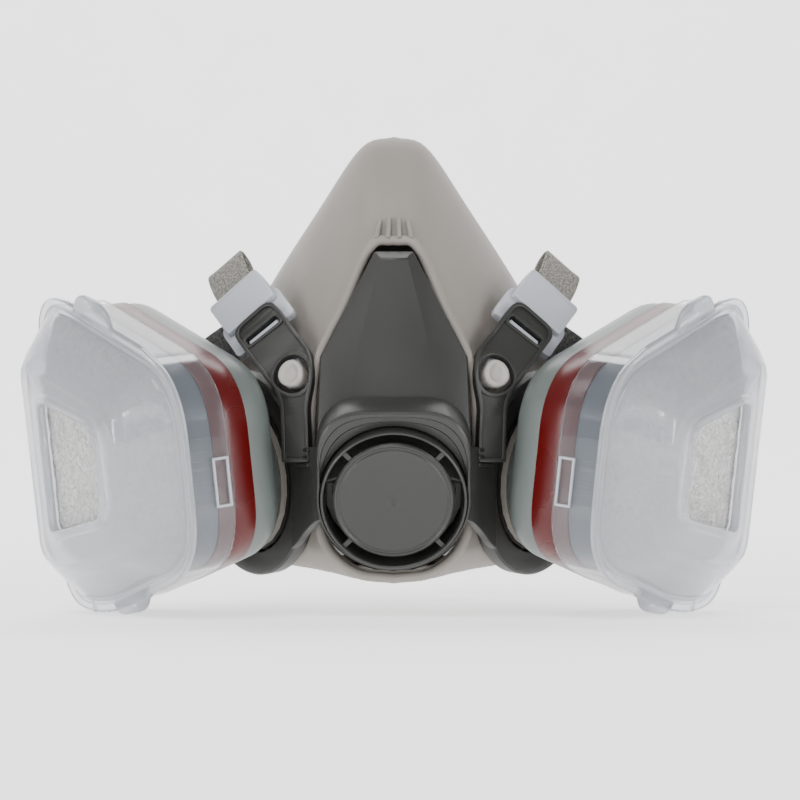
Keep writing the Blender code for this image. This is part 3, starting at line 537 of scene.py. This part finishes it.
def band(low=None, high=None, thick=2.6, out=0.0, start=0, stop=41):
    """A strip of the side band: an upright rectangle carried along the line in plan."""
    line = smooth_path([(*p, *e) for p, e in zip(BAND_LINE, BAND_EDGES)], 41)[start:stop]
    step = np.gradient(line[:, :2], axis=0)
    normal = np.stack([step[:, 1], -step[:, 0]], axis=1)
    normal /= np.linalg.norm(normal, axis=1)[:, None]
    a, b = thick / 2 + out, -thick / 2 + out
    loops = []
    for (x, y, z0, z1), (nx, ny) in zip(line, normal):
        z0, z1 = (z0 if low is None else low), (z1 if high is None else high)
        loops.append([(x + nx * a, y + ny * a, z0), (x + nx * a, y + ny * a, z1),
                      (x + nx * b, y + ny * b, z1), (x + nx * b, y + ny * b, z0)])
    return loft(loops)


both("side_band", *band(), DARK, stands_for=["harness_yoke"], sharp=28, bevel=0.4)
ridges = merge(*[band(z, z + 1.1, thick=1.2, out=1.5, start=12, stop=33) for z in (44.6, 46.9, 49.0)])
both("band_ridges", *ridges, DARK, bevel=0.3)

# ---------------------------------------------------------------- buckles
# White translucent nylon: a tongue behind the arm with a dimpled button through its hole, a raised
# body with side wings, and a bar that the webbing folds over.
NYLON = material("white nylon", (0.60, 0.62, 0.68), 0.3, 0.05, transmission=0.2, subsurface=0.3)
STUD = material("off-white nylon", (0.42, 0.40, 0.37), 0.42, 0.05)
BUCKLE_CORNERS = ((11, 19, 2), (11, 31, 2), (8.4, 33, 1), (8.4, 40, 2), (-8.4, 40, 2), (-8.4, 33, 1),
                  (-11, 31, 2), (-11, 19, 2), (-3.4, 20, 1), (-3.4, -3.4, 2), (3.6, -3.4, 2), (3.6, 20, 1))
BUCKLE_SLOT = ((6.9, 37.6, 0.8), (-6.9, 37.6, 0.8), (-6.9, 34.4, 0.8), (6.9, 34.4, 0.8))
BODY_CORNERS = ((9.4, 27.4, 1.2), (9.4, 40.6, 1.6), (-9.4, 40.6, 1.6), (-9.4, 27.4, 1.2))
button = lathe([(0, 1.5), (1.2, 1.55), (1.8, 1.8), (2.3, 2.5), (2.9, 2.9), (3.5, 2.8), (3.9, 2.3),
                (3.9, -2.2), (0, -2.2)], steps=40, ring=False)
buckle = merge(on_arm(plate((rounded(BUCKLE_CORNERS, arc=3), rounded(BUCKLE_SLOT, arc=3)), -4.4, -1.8)),
               on_arm(plate((rounded(BODY_CORNERS, arc=5),), -4.6, 0.3, 0.7)),
               on_arm(block((10.6, 1.4, 3.0), (0, 18.8, -1.2)), step=9))
both("button", *on_arm(button, step=9), STUD, stands_for=["buckle_{}"], sharp=30)
both("buckle", *buckle, NYLON, stands_for=["buckle_{}"], sharp=30)

# ---------------------------------------------------------------- webbing
# Woven elastic: the crown strap folds back over the buckle's bar and runs behind it to the crown
# piece; the darker neck strap starts at the buckle's lower wing and runs round to the neck hook.
def webbing_material(name, light, dark):
    """Woven webbing on the strap's UVs in mm: ribs across the strap, rows along it, flecked yarns."""
    made = bpy.data.materials.new(name)
    made.use_nodes = True
    tree = made.node_tree
    place = node(tree, "TexCoord", {}).outputs["UV"]
    weave = node(tree, "TexBrick", {"Vector": place, "Scale": 1.0, "Brick Width": 0.9, "Row Height": 0.55,
                                    "Mortar Size": 0.09, "Mortar Smooth": 0.8}).outputs["Fac"]
    flecks = node(tree, "TexNoise", {"Vector": place, "Scale": 1.5, "Detail": 3})
    yarn = node(tree, "ValToRGB", {"Fac": flecks.outputs["Fac"]})
    for element, position, colour in zip(yarn.color_ramp.elements, (0.36, 0.62), (dark, light)):
        element.position = position
        element.color = (*colour, 1)
    shade = node(tree, "MapRange", {"Value": weave, "To Min": 1.0, "To Max": 0.45})
    bump = node(tree, "Bump", {"Height": weave, "Distance": 0.0004, "Strength": 0.9}, invert=True)
    feed(tree, tree.nodes["Principled BSDF"], {
        "Roughness": 0.85, "Sheen Weight": 0.3, "Normal": bump.outputs["Normal"],
        "Base Color": multiplied(tree, yarn.outputs["Color"], shade.outputs["Result"])})
    return made


CROWN_WEB = webbing_material("crown webbing", (0.42, 0.40, 0.36), (0.15, 0.14, 0.12))
NECK_WEB = webbing_material("neck webbing", (0.20, 0.20, 0.19), (0.02, 0.02, 0.02))


def arm_point(s, across=0.0, outward=0.0):
    """A point on the arm, s mm above its button hole, moved across and outwards."""
    middle, side, _, out = arm_frames([s])
    return tuple((middle + side * across + out * outward)[0])


def webbing(route, across, width=13.0, thick=1.2, count=160):
    """Flat webbing along a route, with soft edges; its UVs are mm along and across."""
    line = smooth_path([(*p, *a) for p, a in zip(route, across)], count)
    path, side = line[:, :3], line[:, 3:]
    tangent = np.gradient(path, axis=0)
    tangent /= np.linalg.norm(tangent, axis=1)[:, None]
    side = side - (side * tangent).sum(axis=1)[:, None] * tangent
    side /= np.linalg.norm(side, axis=1)[:, None]
    up = np.cross(tangent, side)
    run = np.concatenate([[0], np.cumsum(np.linalg.norm(np.diff(path, axis=0), axis=1))])
    w, t = width / 2, thick / 2
    face = np.linspace(-w + 1.2, w - 1.2, 9)
    half = [(-w, -t * 0.3), (-w + 0.4, -t), *[(x, -t) for x in face], (w - 0.4, -t), (w, -t * 0.3)]
    section = np.array([*half, *[(x, -z) for x, z in reversed(half)]])
    loops = [p + np.outer(section[:, 0], s) + np.outer(section[:, 1], u)
             for p, s, u in zip(path, side, up)]
    points, faces = loft(loops)
    uv = np.stack(np.meshgrid(run, section[:, 0], indexing="ij"), axis=-1).reshape(-1, 2)
    return points, faces, uv


CROWN_ROUTE = (arm_point(38.4, 0, -2.2), arm_point(45, -0.8, -2.0), arm_point(50.6, -2.2, -2.2),
               arm_point(52.6, -2.6, -4.6), arm_point(50.6, -2.2, -7.0), arm_point(45, -1.0, -7.7),
               arm_point(38, 0, -8.5), arm_point(31, 0, -9.2), (46, -12.8, 85.6), (52.5, -3, 80),
               (54.8, 6, 77), (54.8, 18, 75), (53.5, 36, 73), (47, 54, 73), (33, 65.4, 73), (21, 66.9, 73))
CROWN_ACROSS = (*[tuple(arm_frames([s])[1][0]) for s in (39, 45, 51, 52, 51, 45, 38, 30)],
                (0.6, 0.3, -0.72), (0.3, 0.35, -0.88), (0.1, 0.3, -0.95), *[(0, 0, -1)] * 5)
NECK_ROUTE = ((48.6, -17.4, 81.6), (51, -15.6, 80), (57, -10.4, 75.4), (62, -3, 69.4), (65.4, 4.6, 62),
              (67.4, 12, 54), (65.5, 25, 47), (58, 42, 44), (44, 57, 42), (28, 66, 42), (15.2, 66.9, 42))
NECK_ACROSS = ((0.25, 0.1, -0.93), (0.1, 0.1, -0.99), *[(-0.05, 0.1, -0.99)] * 3, *[(0, 0, -1)] * 6)
points, faces, uv = webbing(CROWN_ROUTE, CROWN_ACROSS)
both("crown_webbing", points, faces, CROWN_WEB, stands_for=["crown_strap_{}"], uv=uv)
points, faces, uv = webbing(NECK_ROUTE, NECK_ACROSS)
both("neck_webbing", points, faces, NECK_WEB, stands_for=["neck_strap_{}"], uv=uv)

# ---------------------------------------------------------------- crown piece, neck loop and hook
# Dark moulded fittings at the back of the harness: the crown straps pass through the crown piece,
# and the neck straps end in a hook and the loop that it catches.
for name in ("crown_cradle", "neck_loop", "neck_hook"):
    keep(name, DARK)

# ---------------------------------------------------------------- inhalation ports
# A moulded tube with bayonet lugs through each side of the facepiece, a silicone flap over its
# inner end, and a rubber gasket that the cartridge is turned down onto.
for side in SIDES:
    keep(f"inhale_port_{side}", DARK)
    keep(f"inhale_flap_{side}", SILICONE)
    keep(f"port_gasket_{side}", RUBBER)

# ---------------------------------------------------------------- cartridges
# A rear tray in grey-green plastic with a neck round the port, a blue-grey front shell welded to
# it, and a red film band round the joint. Inside are the granules and the perforated grille.
REAR_CASE = material("cartridge rear plastic", (0.125, 0.145, 0.138), 0.33, 0.06)
FRONT_CASE = material("cartridge front plastic", (0.11, 0.14, 0.165), 0.30, 0.06)
RED_FILM = material("red film", (0.088, 0.0008, 0.0006), 0.28, 0.02)
CARBON = material("sorbent granules", (0.02, 0.02, 0.02), 0.8, 1.0, 900)
CASE_CORNERS = ((36, 58, 14), (-34, 33, 17), (-34, -19, 15), (14, -32, 9), (36, -32, 11))
CASE_EDGE = 56                            # points along each side of the case


def case(z, grow, corners=CASE_CORNERS):
    """The case's rounded outline, grown outwards, at height z above the port's face."""
    return at(rounded(corners, grow, arc=10, edge=CASE_EDGE), z)


def port_circle(radius, z):
    """A circle with a point at the bearing of each point of the case's outline."""
    angle = np.arctan2(*case(0, 0)[:, 1::-1].T)
    return np.column_stack([radius * np.cos(angle), radius * np.sin(angle), np.full(len(angle), z)])


rear = loft([port_circle(17.6, 3.5), port_circle(22.3, 3.5), port_circle(22.8, 4.0), port_circle(22.8, 7.6),
             port_circle(23.6, 8.0), case(8.0, -9), case(8.3, -7), case(9.2, -5), case(10.4, -3.2),
             case(12, -1.8), case(14.4, -0.6), case(17, 0), case(21.0, 0), case(21.0, -1.7), case(17, -1.7),
             case(12.6, -3.6), case(10.1, -6.2), port_circle(17.6, 10)], ring=True)
both("cartridge_rear", *rear, REAR_CASE, "cartridge_{}", ["cartridge_case_{}"], place=PORT, sharp=45)
front = loft([case(21.2, 0), case(41.7, 0), case(42, -0.3), case(42, -1.7), case(21.2, -1.7)], ring=True)
both("cartridge_front", *front, FRONT_CASE, "cartridge_{}", ["cartridge_case_{}"], place=PORT, sharp=45)
film = loft([case(20.5, 0.1), case(20.5, 0.45), case(20.7, 0.6), case(33.3, 0.6), case(33.5, 0.45),
             case(33.5, 0.1)], ring=True)
both("red_band", *film, RED_FILM, "cartridge_{}", ["label_band_{}"], place=PORT, sharp=40)
for side in SIDES:
    keep(f"sorbent_bed_{side}", CARBON)
    keep(f"cartridge_grille_{side}", FRONT_CASE)

# ---------------------------------------------------------------- filter retainers
# A snap-on cover moulded in clear and milky plastic: skirt, serrated flange, raised stepped panel
# with an open window, and two pull tabs.
MILKY = material("milky clear plastic", (0.82, 0.83, 0.87), 0.12, 0.02, transmission=0.74, ior=1.46)
CLEAR = material("clear plastic", (0.93, 0.94, 0.97), 0.05, 0.01, transmission=0.96, ior=1.46)
PANEL_CORNERS = ((33, 45, 10), (-23, 26, 12), (-23, -14, 10), (5, -22, 10), (32, -22, 10))
WINDOW_CORNERS = ((20, 29, 3), (-10, 21, 6), (-11, -5, 6), (5, -7.8, 3), (20, -10, 3))


def flange_loop(z, grow, teeth):
    """The case's outline with every other point pushed outwards on the top and bottom edges."""
    loop = case(z, grow)
    along = np.arange(len(loop))
    gripped = ((loop[:, 1] > 40) | (loop[:, 1] < -30)) & (np.abs(loop[:, 0]) < 24)
    push = np.where(gripped & (along % 2 == 0), teeth, 0.0)
    radial = loop[:, :2] / np.linalg.norm(loop[:, :2], axis=1)[:, None]
    loop[:, :2] += radial * push[:, None]
    return loop


def panel(z, grow):
    """The raised panel's rounded outline, grown outwards, at height z."""
    return case(z, grow, PANEL_CORNERS)


def window(z, grow):
    """The window's rounded outline, grown outwards, at height z."""
    return case(z, grow, WINDOW_CORNERS)


def blend_loops(a, b, share):
    """A loop between two others: a straight blend of each pair of points."""
    return a * (1 - share) + b * share


step_low, step_high = case(46.2, -0.4), panel(54.5, 1.6)
slope = [blend_loops(step_low, step_high, s) for s in (0.02, 0.25, 0.5, 0.75, 0.96)]
top_low, top_high = panel(54.9, 1.1), panel(58.0, -2.4)
skirt = loft([case(28.5, 1.9), case(28.7, 2.2), case(43.15, 2.2), case(43.15, 1.1), case(28.7, 1.1),
              case(28.5, 1.4)], ring=True)
outer = [case(43.2, 2.2), flange_loop(43.2, 4.0, 0.55), flange_loop(43.5, 4.2, 0.55),
         flange_loop(44.7, 4.2, 0.55), flange_loop(45.0, 3.9, 0.4), case(45.0, 0.6), case(45.3, 0.1),
         case(46.0, -0.3), *slope, panel(54.7, 1.3), top_low,
         *[blend_loops(top_low, top_high, s) for s in (0.5, 0.9)], panel(58.0, -3.0), window(58.0, 3.2),
         window(58.2, 2.8), window(59.0, 2.4), window(59.2, 2.0), window(59.2, 0.5), window(58.8, 0.1)]
inner = [window(56.6, 0.0), window(56.4, 0.2), panel(56.4, -3.6), panel(53.6, 0.0), case(45.2, -1.4),
         case(43.6, 1.1), case(43.2, 1.1)]
top_tab = rounded(((-4, 46, 1), (18, 54, 1), (15, 60.5, 5), (0, 56, 5)), arc=6)
low_tab = rounded(((-10, -27, 1), (12, -33, 1), (9, -37.0, 4), (-6, -35, 4)), arc=6)
tabs = [plate((outline,), 43.3, 45.0, 0.4) for outline in (top_tab, low_tab)]
both("retainer_skirt", *skirt, CLEAR, "retainer_{}", ["filter_retainer_{}"], place=PORT, sharp=38)
both("retainer_cap", *loft([*outer, *inner], ring=True), MILKY, "retainer_{}", ["filter_retainer_{}"],
     place=PORT, sharp=38)
both("retainer_tabs", *merge(*tabs), MILKY, "retainer_{}", place=PORT)


def catch(x, y0, y1):
    """The bright raised frame of a snap slot on the skirt's side wall, from y0 to y1."""
    bars = [block((0.9, y1 - y0 + 1.6, 0.8), (x, (y0 + y1) / 2, z)) for z in (29.9, 34.6)]
    posts = [block((0.9, 0.8, 4.7), (x, y, 32.25)) for y in (y0 - 0.4, y1 + 0.4)]
    return merge(*bars, *posts)


both("snap_frames", *merge(catch(-36.3, -4, 9), catch(38.3, 3, 17)), NYLON, "retainer_{}", place=PORT,
     bevel=0.25)

# ---------------------------------------------------------------- filter pads
# White needled fleece cut to the cover's shape: it is pinched under the flange and swells into the
# window, with the fibres' uneven surface.
def fleece_material():
    """White fibrous fleece: stretched noise for the fibres, as tone and bump."""
    made = material("filter fleece", (0.86, 0.87, 0.86), 0.9, 0.0)
    tree = made.node_tree
    place = node(tree, "TexCoord", {}).outputs["Object"]
    fibres = node(tree, "TexNoise", {"Vector": place, "Scale": 420, "Detail": 6,
                                     "Distortion": 2.5}).outputs["Fac"]
    shade = node(tree, "MapRange", {"Value": fibres, "From Min": 0.3, "From Max": 0.7,
                                    "To Min": 0.45, "To Max": 1.0})
    bump = node(tree, "Bump", {"Height": fibres, "Distance": 0.001, "Strength": 0.8})
    feed(tree, tree.nodes["Principled BSDF"], {
        "Base Color": multiplied(tree, (0.74, 0.73, 0.72, 1), shade.outputs["Result"]),
        "Normal": bump.outputs["Normal"]})
    return made


def fleece_pad():
    """A soft pad: flat under the flange, swelling towards the window, with an uneven surface."""
    edge_low, edge_high = case(42.4, -2.0), case(44.0, -2.0)
    crown = panel(50.8, -5.0)
    loops = [edge_low * (0.02, 0.02, 1) + (2, 6, 0), edge_low * (0.5, 0.5, 1), edge_low, edge_high,
             *[blend_loops(edge_high, crown, s) for s in (0.3, 0.6, 0.9)], crown + (0, 0, 0.5)]
    centre = np.array((5.0, 8.0, 0.0))
    for share in np.linspace(0.94, 0.02, 22):
        loop = (crown - centre) * (share, share, 1) + centre
        swell = np.clip((0.97 - share) / 0.25, 0, 1)
        wave = np.sin(loop[:, 0] * 0.9 + 1.3 * np.sin(loop[:, 1] * 0.5)) * np.cos(loop[:, 1] * 0.8)
        loop[:, 2] += 0.5 + 3.6 * swell * swell * (3 - 2 * swell) + 0.3 * wave * swell
        loops.append(loop)
    return loft(loops)


pads = both("fleece_pad", *fleece_pad(), fleece_material(), "retainer_{}", ["filter_pad_{}"],
            place=PORT, sharp=80)

# ---------------------------------------------------------------- floor, light and camera
# A pale matt sweep with a large key above left, a tall strip at each side for the highlights on
# the retainers, a weak fill from the front and a lamp that whitens the sweep behind.
FLOOR = material("studio floor", (0.86, 0.86, 0.86), 0.7, 0.0)
feed(FLOOR.node_tree, FLOOR.node_tree.nodes["Principled BSDF"],
     {"Emission Color": (1, 1, 1, 1), "Emission Strength": 1.1})
curl = np.linspace(0, math.pi / 2, 12)
depth = np.concatenate([[-2.0, 0.8], 0.8 + 0.6 * np.sin(curl), [1.4]])
height = np.concatenate([[0, 0], 0.6 - 0.6 * np.cos(curl), [2.4]])
sweep = bpy.data.meshes.new("floor")
sweep.from_pydata([(x, y, z) for y, z in zip(depth, height) for x in (-3, 3)], [],
                  [(2 * i, 2 * i + 1, 2 * i + 3, 2 * i + 2) for i in range(len(depth) - 1)])
sweep.materials.append(FLOOR)
sweep.shade_smooth()
floor = bpy.data.objects.new("floor", sweep)
bpy.context.scene.collection.objects.link(floor)


def softbox(name, place, target, size, power):
    """A rectangular lamp that faces its target; size in metres and power in watts."""
    data = bpy.data.lights.new(name, "AREA")
    data.shape = "RECTANGLE"
    data.size, data.size_y = size
    data.energy = power
    light = bpy.data.objects.new(name, data)
    light.location = place
    light.rotation_euler = (Vector(target) - Vector(place)).to_track_quat("-Z", "Y").to_euler()
    bpy.context.scene.collection.objects.link(light)


AIM = (0, 0, 0.06)
softbox("key", (-0.25, -0.55, 1.05), AIM, (0.8, 0.5), 8)
softbox("left_strip", (-0.75, -0.55, 0.22), AIM, (0.10, 0.55), 3.2)
softbox("right_strip", (0.75, -0.55, 0.22), AIM, (0.10, 0.55), 3.8)
softbox("front_fill", (0.1, -1.5, 0.5), AIM, (0.8, 0.5), 2.5)
softbox("back_light", (0, 0.9, 1.3), (0, 1.4, 0.3), (1.6, 0.6), 16)

world = bpy.data.worlds.new("studio")
world.use_nodes = True
world.node_tree.nodes["Background"].inputs["Color"].default_value = (1, 1, 1, 1)
world.node_tree.nodes["Background"].inputs["Strength"].default_value = 0.3
bpy.context.scene.world = world

camera_data = bpy.data.cameras.new("camera")
camera_data.lens = 161
camera_data.sensor_width = 36
camera = bpy.data.objects.new("camera", camera_data)
camera.location = (0.00185, -1.10, 0.064)
camera.rotation_euler = (math.pi / 2, 0, 0)
bpy.context.scene.collection.objects.link(camera)
bpy.context.scene.camera = camera
